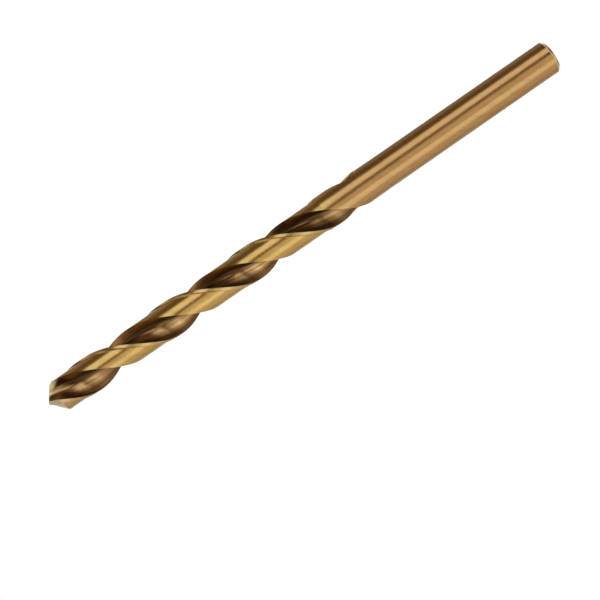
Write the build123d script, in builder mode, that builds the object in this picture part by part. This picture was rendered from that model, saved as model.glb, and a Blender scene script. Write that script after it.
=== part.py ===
from math import asin, cos, degrees, pi, radians, sin, sqrt, tan
import os

from build123d import *

# A two-flute jobber twist drill for metal, right-hand cut, ground from one bar of high-speed steel.
# +Z runs up the drill's own axis. The flat end of the shank stands on Z = 0 and the point is up.

# ---- driving dimensions, mm and degrees ----
drill_diameter = 5.0  # over the margins
overall_length = 86.0  # shank end to the place where the lips meet
flute_length = 53.5  # point to the last trace of the flutes
shank_diameter = 4.92
shank_chamfer = 0.5
neck_length = 4.0  # faint cone from the shank up to the fluted body
helix_angle = 30.3
point_angle = 135.0
web_at_point = 0.7
web_at_flute_end = 1.4
land_angle_at_point = 76.5  # arc from a leading edge back to the heel behind it
land_angle_at_flute_end = 109.5
runout_length = 3.8  # where the cutter climbs out of the bar
margin_width = 0.42  # full-diameter strip behind each leading edge, round the circumference
clearance_depth = 0.205  # how far the land behind the margin is cut below the margin
clearance_length = 46.6  # point to the shoulder where that cut stops
flank_relief = 12.0  # tilt of each flank behind its lip, square to the lip
flank_cone_angle = 45.0  # half angle of the cone each flank is ground on
flank_cone_setback = 2.0  # that cone's tip, beyond the axis along the lip
flute_count = 2

# ---- working values ----
bar_radius = drill_diameter / 2
cleared_radius = bar_radius - clearance_depth
lead = pi * drill_diameter / tan(radians(helix_angle))
lip_slope = 1 / tan(radians(point_angle / 2))  # drop of a lip for each mm outward
turn_per_station = 15.0  # twist between two neighbouring sections of a cutter
station_step = lead * turn_per_station / 360
cutter_lead_in = 1.0  # a cutter starts this far beyond the point
cutter_overreach = 0.35 * drill_diameter  # and stands this far out of the bar
cutter_radius = bar_radius + cutter_overreach
clear_of_bar = 1.06 * bar_radius  # a radius just outside the bar, where cuts may change course


def blend(depth, at_point, at_end):
    """A value that changes evenly from the point to the end of the flutes."""
    return at_point + (at_end - at_point) * depth / flute_length


def section_plane(depth):
    """Plane across the drill at a depth below the point, turned with the flutes."""
    return Plane.XY.offset(overall_length - depth).rotated((0, 0, -360 * depth / lead))


def half_web_at(depth):
    return blend(depth, web_at_point, web_at_flute_end) / 2


def land_angle_at(depth):
    return blend(depth, land_angle_at_point, land_angle_at_flute_end)


def rake_angle_at(radius, half_web):
    """Polar angle of the flute's rake side, whose cut with the point is a straight lip."""
    along_lip = sqrt(radius**2 - half_web**2)
    hook = tan(radians(helix_angle)) * lip_slope * along_lip / bar_radius
    return degrees(asin(half_web / radius) + hook)


def polar(radius, angle):
    return Vector(radius * cos(radians(angle)), radius * sin(radians(angle)))


def lift_at(depth):
    """How far the flute cutter has climbed at a depth, slowly at first and then faster."""
    climbed = max(0, depth - (flute_length - runout_length)) / runout_length
    return (bar_radius - web_at_flute_end / 2) * climbed**2


# ---- cutter for one flute: section after section along its helix, then up and out of the bar ----
with BuildPart() as flute_cutter:
    for station in range(int((cutter_lead_in + flute_length) / station_step) + 3):
        depth = station * station_step - cutter_lead_in
        half_web = half_web_at(depth)
        leading_corner = rake_angle_at(bar_radius, half_web)
        heel_angle = leading_corner + 360 / flute_count - land_angle_at(depth)
        rake_radii = [half_web + (cutter_radius - half_web) * share for share in (0.12, 0.3, 0.5, 0.75, 1)]
        plane = section_plane(depth)
        with BuildSketch(plane.shift_origin(plane.origin + plane.y_dir * lift_at(depth))):
            with BuildLine():
                web_point = (0, half_web)
                rake = Spline(web_point, *[polar(r, rake_angle_at(r, half_web)) for r in rake_radii])
                heel_corner = polar(clear_of_bar, heel_angle)
                Spline(web_point, heel_corner, tangents=[(-1, 0), heel_corner])
                way_out = Line(heel_corner, polar(cutter_radius, heel_angle))
                mid_flute = (leading_corner + heel_angle) / 2
                ThreePointArc(way_out @ 1, polar(1.3 * cutter_radius, mid_flute), rake @ 1)
            make_face()
    loft()

# ---- cutter that clears one land behind its margin and leaves the bar in its last section ----
margin_angle = degrees(margin_width / bar_radius)
shoulder_lean = degrees(clearance_depth / bar_radius)  # the margin's back wall leans at 45 degrees
with BuildPart() as clearance_cutter:
    sections = int((cutter_lead_in + clearance_length) / station_step) + 1
    for station in range(sections + 1):
        depth = (cutter_lead_in + clearance_length) * station / sections - cutter_lead_in
        margin_back = rake_angle_at(bar_radius, half_web_at(depth)) - margin_angle
        past_heel = margin_back - land_angle_at(depth)
        floor_radius = cleared_radius if station < sections else clear_of_bar
        with BuildSketch(section_plane(depth)):
            with BuildLine():
                floor_start = polar(floor_radius, margin_back - shoulder_lean)
                floor_middle = polar(floor_radius, (margin_back + past_heel) / 2)
                floor = ThreePointArc(floor_start, floor_middle, polar(floor_radius, past_heel))
                wall = Line(floor @ 0, polar(cutter_radius, margin_back + 2 * shoulder_lean))
                end = Line(floor @ 1, polar(cutter_radius, past_heel))
                roof_middle = polar(cutter_radius, (margin_back + past_heel) / 2)
                ThreePointArc(wall @ 1, roof_middle, end @ 1)
            make_face()
    loft()

# ---- grinding tool for one flank: all that lies outside a leaning cone that holds the lip ----
half_point = radians(point_angle / 2)
lip_direction = Vector(sin(half_point), 0, -cos(half_point))
upright = Vector(cos(half_point), 0, sin(half_point))
flank_normal = upright * cos(radians(flank_relief)) - Vector(0, 1, 0) * sin(radians(flank_relief))
cone_half_angle = radians(flank_cone_angle)
cone_axis = lip_direction * cos(cone_half_angle) - flank_normal * sin(cone_half_angle)
cone_height = 4 * drill_diameter
lips_meet = Vector(0, web_at_point / 2, overall_length)
cone_tip = lips_meet - Vector(1, 0, -lip_slope) * flank_cone_setback
with BuildPart() as flank_tool:
    with BuildSketch(Plane.XY.offset(overall_length - drill_diameter)):
        Circle(drill_diameter)
    extrude(amount=drill_diameter + cutter_lead_in)
    with Locations(Plane(origin=cone_tip, z_dir=-cone_axis)):
        Cone(
            bottom_radius=cone_height * tan(cone_half_angle),
            top_radius=0,
            height=cone_height,
            align=(Align.CENTER, Align.CENTER, Align.MAX),
            mode=Mode.SUBTRACT,
        )

# ---- the drill: the turned bar, cut by each tool once for each flute ----
body_base = overall_length - flute_length
shank_radius = shank_diameter / 2
with BuildPart() as drill:
    with BuildSketch(Plane.XZ):
        with BuildLine():
            Polyline(
                (0, 0),
                (shank_radius - shank_chamfer, 0),
                (shank_radius, shank_chamfer),
                (shank_radius, body_base - neck_length),
                (bar_radius, body_base),
                (bar_radius, overall_length),
                (0, overall_length),
                close=True,
            )
        make_face()
    revolve(axis=Axis.Z)
    with PolarLocations(0, flute_count):
        add(flute_cutter.part, mode=Mode.SUBTRACT, clean=False)
        add(clearance_cutter.part, mode=Mode.SUBTRACT, clean=False)
        add(flank_tool.part, mode=Mode.SUBTRACT, clean=False)

os.makedirs("parts", exist_ok=True)
drill.part.label = "twist_drill"
export_step(drill.part, "parts/twist_drill.step")
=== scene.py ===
import math

import bpy
from mathutils import Matrix, Vector

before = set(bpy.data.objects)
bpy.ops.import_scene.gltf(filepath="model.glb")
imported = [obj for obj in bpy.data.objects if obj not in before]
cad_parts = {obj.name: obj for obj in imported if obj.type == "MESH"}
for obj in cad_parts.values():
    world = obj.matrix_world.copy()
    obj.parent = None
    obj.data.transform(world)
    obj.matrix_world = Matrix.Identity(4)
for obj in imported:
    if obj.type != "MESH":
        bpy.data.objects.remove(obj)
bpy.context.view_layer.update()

# ---- the drill's own sizes, metres and degrees ----
LENGTH = 0.086
BAR_RADIUS = 0.0025
HELIX_ANGLE = 30.3
LEAD = 2 * math.pi * BAR_RADIUS / math.tan(math.radians(HELIX_ANGLE))
FLUTE_LENGTH = 0.0535
RUNOUT_TOP = LENGTH - 0.0497  # where the flutes begin to run out
SHOULDER = LENGTH - 0.0466  # where the land behind the margin comes up to the full bar
# These two are at the point and at the flutes' end. The edge's polar angle has the helix taken out.
LEADING_EDGE = (21.8, 29.6)
LAND_ANGLE = (76.5, 109.5)
MARGIN_ANGLE = 9.6

# ---- camera: the side of the drill that faces it, and the drill's slant in the picture ----
VIEW_AZIMUTH = 13.7
VIEW_ELEVATION = 12.2
PICTURE_SLANT = 34.84
CAMERA_DISTANCE = 0.9
SENSOR_WIDTH = 36.0
CLIP_RANGE = (0.01, 20.0)
PIXELS_PER_METRE = 7358.0  # in the plane of the point
PICTURE_SIDE = 600
APEX_TO_CENTRE = (266.0, 58.2)  # pixels along the drill and across it, from the point to the picture's middle

scene = bpy.context.scene
scene.view_settings.view_transform = "Standard"

az, el, slant = (math.radians(v) for v in (VIEW_AZIMUTH, VIEW_ELEVATION, PICTURE_SLANT))
toward = Vector((math.cos(az) * math.cos(el), math.sin(az) * math.cos(el), math.sin(el)))
along = Vector((math.cos(az) * math.sin(el), math.sin(az) * math.sin(el), -math.cos(el)))
across = Vector((math.sin(az), -math.cos(az), 0))
right = along * math.cos(slant) + across * math.sin(slant)
up = along * math.sin(slant) - across * math.cos(slant)
middle = Vector((0, 0, LENGTH)) + (along * APEX_TO_CENTRE[0] + across * APEX_TO_CENTRE[1]) / PIXELS_PER_METRE
camera_data = bpy.data.cameras.new("camera")
camera_data.sensor_width = SENSOR_WIDTH
camera_data.lens = SENSOR_WIDTH * PIXELS_PER_METRE * CAMERA_DISTANCE / PICTURE_SIDE
camera_data.clip_start, camera_data.clip_end = CLIP_RANGE
camera = bpy.data.objects.new("camera", camera_data)
turn = Matrix((right, up, toward)).transposed().to_4x4()
camera.matrix_world = Matrix.Translation(middle + toward * CAMERA_DISTANCE) @ turn
scene.collection.objects.link(camera)
scene.camera = camera


# ---- material helpers ----
WHITE = (1, 1, 1, 1)


def new_material(name):
    material = bpy.data.materials.new(name)
    material.use_nodes = True
    tree = material.node_tree
    tree.nodes.clear()
    return material, tree


class Graph:
    """Short names for making and joining shader nodes."""

    def __init__(self, tree):
        self.tree = tree

    def node(self, kind, **settings):
        made = self.tree.nodes.new(kind)
        for name, value in settings.items():
            setattr(made, name, value)
        return made

    def join(self, source, target):
        self.tree.links.new(source, target)

    def feed(self, socket, value):
        if isinstance(value, bpy.types.NodeSocket):
            self.join(value, socket)
        else:
            socket.default_value = value

    def math(self, operation, *values):
        made = self.node("ShaderNodeMath", operation=operation)
        for socket, value in zip(made.inputs, values):
            self.feed(socket, value)
        return made.outputs[0]

    def product(self, first, *others):
        for other in others:
            first = self.math("MULTIPLY", first, other)
        return first

    def parts(self, vector):
        made = self.node("ShaderNodeSeparateXYZ")
        self.join(vector, made.inputs[0])
        return made.outputs

    def mix(self, share, first, second, blend="MIX"):
        made = self.node("ShaderNodeMix", data_type="RGBA", blend_type=blend)
        for index, value in ((0, share), (6, first), (7, second)):
            self.feed(made.inputs[index], value)
        return made.outputs[2]

    def laid_over(self, base, mask, most, colour):
        """A colour over another where a mask says, by no more than the given share."""
        return self.mix(self.product(mask, most), base, colour)

    def speckled(self, base, share, pattern, dark, light=WHITE):
        """A colour multiplied by a pattern's two tints, in part."""
        return self.mix(share, base, self.mix(pattern, dark, light), "MULTIPLY")

    def step(self, value, begins, full, least=0.0, most=1.0):
        """A soft step between two values. It falls as the value grows where it begins at the higher one."""
        made = self.node("ShaderNodeMapRange", interpolation_type="SMOOTHSTEP")
        for socket, number in zip(made.inputs, (value, begins, full, least, most)):
            self.feed(socket, number)
        return made.outputs[0]

    def noise(self, vector, squeeze, scale, detail, roughness):
        """Noise over a place whose axes are squeezed, which draws it out along an axis squeezed to little."""
        squeezed = self.node("ShaderNodeVectorMath", operation="MULTIPLY")
        self.join(vector, squeezed.inputs[0])
        squeezed.inputs[1].default_value = squeeze
        made = self.node("ShaderNodeTexNoise")
        self.join(squeezed.outputs[0], made.inputs["Vector"])
        made.inputs["Scale"].default_value = scale
        made.inputs["Detail"].default_value = detail
        made.inputs["Roughness"].default_value = roughness
        return made.outputs["Fac"]

    def emission(self, colour=WHITE, strength=1.0):
        made = self.node("ShaderNodeEmission")
        made.inputs["Color"].default_value = colour
        self.feed(made.inputs["Strength"], strength)
        return made.outputs[0]

    def seen(self):
        """1 for what the camera, gloss and glass see, 0 for the light that falls on things."""
        path = self.node("ShaderNodeLightPath")
        either = self.math("MAXIMUM", path.outputs["Is Camera Ray"], path.outputs["Is Glossy Ray"])
        return self.math("MAXIMUM", either, path.outputs["Is Transmission Ray"])

    def show(self, shader, output="ShaderNodeOutputMaterial"):
        self.join(shader, self.node(output).inputs["Surface"])


# ---- the drill's finish: colours ----
LAND_GOLD = (0.73, 0.50, 0.175, 1)
LAND_BROWN = (0.60, 0.385, 0.12, 1)
SHANK_COPPER = (0.63, 0.39, 0.16, 1)
SHANK_BROWN = (0.54, 0.32, 0.13, 1)
# the flutes' dark, brown and tan bands: partly the steel's colour, partly painted reflection and shade
FLUTE_TAN = (0.66, 0.43, 0.19, 1)
FLUTE_BROWN = (0.24, 0.13, 0.055, 1)
FLUTE_DARK = (0.085, 0.044, 0.018, 1)
HEEL_BROWN = (0.31, 0.165, 0.06, 1)
GROUND_PALE = (0.62, 0.47, 0.25, 1)
# painted highlight: the pale line along the margin and along the heel edge
EDGE_HIGHLIGHT = (0.76, 0.61, 0.36, 1)
# painted shade: the darker brown on the small wall behind the margin
WALL_SHADE = (0.20, 0.12, 0.05, 1)
THINNED_PALE = (0.88, 0.72, 0.42, 1)
STREAK_DARK = (0.35, 0.32, 0.30, 1)
STREAK_LIGHT = (1.6, 1.6, 1.6, 1)
MOTTLE_DARK = (0.7, 0.67, 0.65, 1)
GRAIN_DARK = (0.25, 0.25, 0.25, 1)

# ---- the drill's finish: where each mask begins and where it is full, metres unless it says degrees ----
EDGE_SETBACK = 0.8  # degrees behind the leading edge from which the masks count their angle
HEEL_EDGE = (0.5, -0.5)  # degrees past the heel
HEEL_HIGHLIGHT_STRIP = (4.0, 1.0)  # degrees past the heel
MARGIN_FADE = 2.0  # degrees
FLUTE_RADIUS = (0.002285, 0.00225)  # nearer the axis than this is a flute
WALL_INSIDE = (0.00231, 0.00234)  # radii of the wall between the margin and the land cut lower behind it
WALL_OUTSIDE = (0.00249, 0.00247)
FULL_FLUTE = (RUNOUT_TOP - 0.002, RUNOUT_TOP)  # heights from here on
MARGIN_END = (RUNOUT_TOP, SHOULDER)
WALL_END = (SHOULDER, SHOULDER + 0.002)
GOLD_END = (SHOULDER - 0.0035, SHOULDER + 0.001)
POINT_FACES = (0.62, 0.72)  # not a length: the height of a ground face's normal
SHANK_END_FACE = (-0.9, -0.97)  # the same
NEAR_POINT = (0.0065, 0.0025)  # depth below the point
# From here on across the flute: 0 at its middle, plus toward the leading edge.
THINNED = (0.0001, -0.0006)  # the small grind that thins the web
THINNED_SLOPE = 0.85  # how much less far across it reaches, for each metre further down
SWING_DEPTH, SWING_SLOPE = 0.0044, 0.7  # beside it the flute's colours swing over toward the heel
# the bands across the flute, partly the steel's colour and partly painted reflection and shade
TAN_FROM_HEEL = (-0.0009, 0.0005)
TAN_FROM_EDGE = (0.0017, 0.0009)
DARK_TO_BROWN = (0.0006, 0.0012)
DARK_TO_HEEL = (-0.0014, -0.0020)
STREAK_WANDER = 0.0009  # how far the streaks push those bands to and fro

# ---- the drill's finish: noise, as the squeeze along each axis, scale, detail and roughness ----
PATCHES = ((1, 1, 0.25), 900.0, 3.0, 0.55)
STREAKS = ((1, 1, 0.05), 2600.0, 3.0, 0.55)
MOTTLE = ((1, 1, 0.5), 4500.0, 4.0, 0.65)
GRAIN = ((1, 1, 0.02), 9000.0, 2.0, 0.55)
LINES_ROUND = ((0.03, 0.03, 1), 16000.0, 3.0, 0.55)
LINES_ALONG = ((1, 1, 0.03), 7000.0, 3.0, 0.55)
NOISE_MIDDLE = 0.5

# ---- the drill's finish: how the noise is cut, and how strong each thing is ----
PATCH_CUT = (0.35, 0.75, 0.0, 0.6)
STREAK_CUT = (0.35, 0.65)
MOTTLE_CUT = (0.3, 0.7)
# the margin's and the heel's shares are of painted highlight, the wall's of painted shade
POINT_SHARE, MARGIN_HIGHLIGHT_SHARE, HEEL_HIGHLIGHT_SHARE, WALL_SHADE_SHARE = 0.4, 0.5, 0.3, 0.55
STREAK_SHARE, MOTTLE_SHARE, GRAIN_SHARE = 0.6, 0.3, 0.15
ROUGHNESS, MOTTLE_ROUGHER, FLUTE_ROUGHER, MARGIN_ROUGHER = 0.23, 0.12, 0.05, 0.08
BUMP_STRENGTH, BUMP_DEPTH = 0.12, 0.00002
ANISOTROPY, ANISOTROPY_TURN = 0.5, 0.25


def make_steel():
    material, tree = new_material("straw_steel")
    g = Graph(tree)
    place = g.node("ShaderNodeTexCoord").outputs["Object"]
    x, y, z = g.parts(place)
    radius = g.math("SQRT", g.math("ADD", g.product(x, x), g.product(y, y)))
    depth = g.math("SUBTRACT", LENGTH, z)
    share = g.math("DIVIDE", depth, FLUTE_LENGTH)

    def along_flute(ends, less=0.0):
        """An angle that changes evenly from the point to the end of the flutes."""
        at_point, at_end = (math.radians(v) for v in ends)
        return g.math("ADD", at_point - math.radians(less), g.product(share, at_end - at_point))

    # the same place with the helix taken out and the leading edge turned to the u axis
    edge_angle = along_flute(LEADING_EDGE, less=EDGE_SETBACK)
    untwist = g.node("ShaderNodeVectorRotate", rotation_type="Z_AXIS")
    g.join(place, untwist.inputs["Vector"])
    g.join(g.math("SUBTRACT", g.product(depth, 2 * math.pi / LEAD), edge_angle), untwist.inputs["Angle"])
    straight = untwist.outputs[0]
    u, v, _ = g.parts(straight)
    past_edge = g.math("FLOORED_MODULO", g.math("ARCTAN2", v, u), math.pi)
    across_flute = g.product(g.math("SUBTRACT", u, v), g.math("SIGN", v))

    # where each part of the drill is
    heel = g.math("SUBTRACT", math.pi, along_flute(LAND_ANGLE))
    past_heel = g.math("SUBTRACT", past_edge, heel)
    full_flute = g.step(z, *FULL_FLUTE)
    open_angle = g.product(g.step(past_heel, *map(math.radians, HEEL_EDGE)), full_flute)
    in_flute = g.math("MAXIMUM", g.step(radius, *FLUTE_RADIUS), open_angle)
    on_land = g.math("SUBTRACT", 1.0, in_flute)
    fluted = g.step(z, *GOLD_END)
    facing_up = g.parts(g.node("ShaderNodeNewGeometry").outputs["Normal"])[2]
    ground = g.math("MAXIMUM", g.step(facing_up, *POINT_FACES), g.step(facing_up, *SHANK_END_FACE))
    margin_start, margin_full = (math.pi - math.radians(v) for v in (MARGIN_ANGLE, MARGIN_ANGLE - MARGIN_FADE))
    on_margin = g.product(g.step(past_edge, margin_start, margin_full), on_land, g.step(z, *MARGIN_END))
    # where the painted highlight along the heel edge and the painted shade on the wall behind the margin lie
    heel_highlight = g.product(g.step(past_heel, *map(math.radians, HEEL_HIGHLIGHT_STRIP)), on_land, full_flute)
    shaded_wall = g.product(g.step(radius, *WALL_INSIDE), g.step(radius, *WALL_OUTSIDE), on_land, g.step(z, *WALL_END))
    near_point = g.step(depth, *NEAR_POINT)
    thinned = g.math("ADD", across_flute, g.product(depth, THINNED_SLOPE))
    thinned = g.product(g.step(thinned, *THINNED), in_flute)

    # colour of the lands and the shank, with a painted highlight along the margin and the heel edge and painted
    # shade on the wall behind the margin
    patches = g.step(g.noise(straight, *PATCHES), *PATCH_CUT)
    copper, gold = g.mix(patches, SHANK_COPPER, SHANK_BROWN), g.mix(patches, LAND_GOLD, LAND_BROWN)
    land = g.mix(fluted, copper, gold)
    land = g.laid_over(land, near_point, POINT_SHARE, GROUND_PALE)
    # painted highlight along the margin and the heel edge
    land = g.laid_over(land, on_margin, MARGIN_HIGHLIGHT_SHARE, EDGE_HIGHLIGHT)
    land = g.laid_over(land, heel_highlight, HEEL_HIGHLIGHT_SHARE, EDGE_HIGHLIGHT)
    # painted shade on the wall behind the margin
    land = g.laid_over(land, shaded_wall, WALL_SHADE_SHARE, WALL_SHADE)

    # colour of the flutes: uneven is the place across the flute, made to wander. The dark, brown and tan bands
    # across it are partly the steel's colour and partly painted reflection and shade.
    streaks = g.noise(straight, *STREAKS)
    uneven = g.math("ADD", across_flute, g.product(g.math("SUBTRACT", streaks, NOISE_MIDDLE), STREAK_WANDER))
    swing = g.product(g.math("MAXIMUM", g.math("SUBTRACT", SWING_DEPTH, depth), 0.0), SWING_SLOPE)
    uneven = g.math("ADD", uneven, swing)
    tan = g.product(g.step(uneven, *TAN_FROM_HEEL), g.step(uneven, *TAN_FROM_EDGE))
    flute = g.mix(g.step(uneven, *DARK_TO_BROWN), FLUTE_DARK, FLUTE_BROWN)
    flute = g.mix(g.step(uneven, *DARK_TO_HEEL), flute, HEEL_BROWN)
    flute = g.mix(tan, flute, FLUTE_TAN)
    flute = g.speckled(flute, STREAK_SHARE, g.step(streaks, *STREAK_CUT), STREAK_DARK, STREAK_LIGHT)
    flute = g.mix(thinned, flute, THINNED_PALE)

    # both, and the fine grain over everything
    mottle = g.noise(place, *MOTTLE)
    grain = g.noise(place, *GRAIN)
    colour = g.mix(ground, g.mix(in_flute, land, flute), GROUND_PALE)
    colour = g.speckled(colour, MOTTLE_SHARE, g.step(mottle, *MOTTLE_CUT), MOTTLE_DARK)
    colour = g.speckled(colour, GRAIN_SHARE, grain, GRAIN_DARK)

    # gloss, and the grinding lines: round the lands and the shank, along the flutes
    rough = g.math("ADD", ROUGHNESS, g.product(mottle, MOTTLE_ROUGHER))
    rough = g.math("ADD", rough, g.product(in_flute, FLUTE_ROUGHER))
    rough = g.math("ADD", rough, g.product(on_margin, MARGIN_ROUGHER))
    lines = g.node("ShaderNodeMix", data_type="FLOAT")
    g.join(in_flute, lines.inputs[0])
    g.join(g.noise(place, *LINES_ROUND), lines.inputs[2])
    g.join(g.noise(straight, *LINES_ALONG), lines.inputs[3])
    bump = g.node("ShaderNodeBump")
    bump.inputs["Strength"].default_value = BUMP_STRENGTH
    bump.inputs["Distance"].default_value = BUMP_DEPTH
    g.join(lines.outputs[0], bump.inputs["Height"])
    tangent = g.node("ShaderNodeTangent", direction_type="RADIAL", axis="Z")

    shader = g.node("ShaderNodeBsdfPrincipled")
    shader.inputs["Metallic"].default_value = 1.0
    shader.inputs["Anisotropic"].default_value = ANISOTROPY
    shader.inputs["Anisotropic Rotation"].default_value = ANISOTROPY_TURN
    g.join(colour, shader.inputs["Base Color"])
    g.join(rough, shader.inputs["Roughness"])
    g.join(bump.outputs[0], shader.inputs["Normal"])
    g.join(tangent.outputs[0], shader.inputs["Tangent"])
    g.show(shader.outputs[0])
    return material


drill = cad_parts["twist_drill"]
steel = make_steel()
for slot in drill.material_slots:
    slot.material = steel


# ---- floor: its glow is seen but lights nothing, so the ground is white with the shadow kept ----
FLOOR_SIZE = 8.0
FLOOR_GREY = (0.45, 0.45, 0.45, 1)
FLOOR_GLOW = 0.75


def make_floor():
    bpy.ops.mesh.primitive_plane_add(size=FLOOR_SIZE, location=(0, 0, 0))
    floor = bpy.context.object
    floor.name = "floor"
    material, tree = new_material("floor_white")
    g = Graph(tree)
    diffuse = g.node("ShaderNodeBsdfDiffuse")
    diffuse.inputs["Color"].default_value = FLOOR_GREY
    both = g.node("ShaderNodeAddShader")
    g.join(diffuse.outputs[0], both.inputs[0])
    g.join(g.emission(strength=g.product(g.seen(), FLOOR_GLOW)), both.inputs[1])
    g.show(both.outputs[0])
    floor.data.materials.append(material)


# ---- studio cards: the bands of light and dark that the drill mirrors ----
CARD_FOOT = 0.0004  # height of the cards' feet over the floor
CARD_TOP = 0.2
CARD_DISTANCE = 0.025  # from a foot's inner edge to its wall
CARD_STEPS = 16
LOW_CARD_TOP = 0.086
HIGH_CARD_FOOT = 0.0861
# Each card's azimuths at the foot and at the wall's top, in degrees from the camera's and positive toward the
# picture's lower edge, its colour, and where they aren't the usual ones the heights of its lower and upper edge.
CARDS = (
    ("card_grey_upper", (-155, -104), (-155, -104), (0.31, 0.265, 0.245)),
    ("card_dark_upper", (-104, -64), (-104, -44), (0.16, 0.105, 0.06)),
    ("card_line", (-30, -10), (12, 26), (0.21, 0.125, 0.065)),
    ("card_front", (-10, 30), (26, 30), (0.78, 0.70, 0.60)),
    ("card_lower", (60, 100), (60, 100), (0.72, 0.63, 0.55), CARD_FOOT, LOW_CARD_TOP),
    ("card_far_lower", (100, 150), (100, 150), (0.50, 0.48, 0.48), CARD_FOOT, LOW_CARD_TOP),
    ("card_dark_high", (50, 150), (50, 150), (0.05, 0.03, 0.02), HIGH_CARD_FOOT, CARD_TOP),
)


def make_card(name, foot_span, top_span, colour, low=CARD_FOOT, high=CARD_TOP):
    """A bent card, foot and wall, that only gloss sees. One that starts higher up has no foot.

    Its azimuths are those in which the drill's round side mirrors it, from the camera's side. The foot's edges
    start where the drill mirrors them, so that the bands of light on the shank run straight down to its end.
    """
    points, faces = [], []
    for i in range(CARD_STEPS + 1):  # three points a step: the foot's inner edge, the wall's foot and its top
        at_foot, at_top = (start + (stop - start) * i / CARD_STEPS for start, stop in (foot_span, top_span))
        near = math.radians(VIEW_AZIMUTH - at_foot / 2)
        inner = Vector((math.cos(near), math.sin(near))) * BAR_RADIUS
        points.append((*inner, low))
        for turned, level in ((at_foot, low), (at_top, high)):
            out = math.radians(VIEW_AZIMUTH - turned)
            points.append((*(inner + Vector((math.cos(out), math.sin(out))) * CARD_DISTANCE), level))
    first_strip = 0 if low == CARD_FOOT else 1
    for i in range(CARD_STEPS):
        for strip in range(first_strip, 2):
            corner, opposite = 3 * i + strip, 3 * (i + 1) + strip
            faces.append((corner, corner + 1, opposite + 1, opposite))
    mesh = bpy.data.meshes.new(name)
    mesh.from_pydata(points, [], faces)
    card = bpy.data.objects.new(name, mesh)
    scene.collection.objects.link(card)
    material, tree = new_material(name)
    g = Graph(tree)
    g.show(g.emission((*colour, 1)))
    mesh.materials.append(material)
    card.visible_camera = card.visible_diffuse = card.visible_shadow = card.visible_transmission = False


# ---- lamps: they light the floor, and gloss doesn't see them ----
LAMP_DISTANCE = 0.8
LAMP_AIM = Vector((0, 0, 0.045))
LAMPS = (  # azimuth from the camera's, elevation, side and watts
    ("key", 40, 45, 0.5, 2.6),
    ("fill", -50, 40, 0.5, 2.0),
    ("top", 180, 70, 0.6, 2.2),
)


def make_lamp(name, azimuth, elevation, side, watts):
    data = bpy.data.lights.new(name, "AREA")
    data.shape = "RECTANGLE"
    data.size = data.size_y = side
    data.energy = watts
    lamp = bpy.data.objects.new(name, data)
    a, e = math.radians(VIEW_AZIMUTH - azimuth), math.radians(elevation)
    aim = Vector((math.cos(a) * math.cos(e), math.sin(a) * math.cos(e), math.sin(e)))
    lamp.location = LAMP_AIM + aim * LAMP_DISTANCE
    lamp.rotation_mode = "QUATERNION"
    lamp.rotation_quaternion = aim.to_track_quat("Z", "Y")
    lamp.visible_glossy = False
    scene.collection.objects.link(lamp)


# ---- world: white where it is seen, dimmer as light ----
WORLD_LIGHT = 0.28


def make_world():
    world = bpy.data.worlds.new("studio")
    world.use_nodes = True
    world.node_tree.nodes.clear()
    g = Graph(world.node_tree)
    background = g.node("ShaderNodeBackground")
    background.inputs["Color"].default_value = WHITE
    strength = g.math("ADD", WORLD_LIGHT, g.product(g.seen(), 1 - WORLD_LIGHT))
    g.join(strength, background.inputs["Strength"])
    g.show(background.outputs[0], output="ShaderNodeOutputWorld")
    scene.world = world


make_floor()
for card in CARDS:
    make_card(*card)
for lamp in LAMPS:
    make_lamp(*lamp)
make_world()
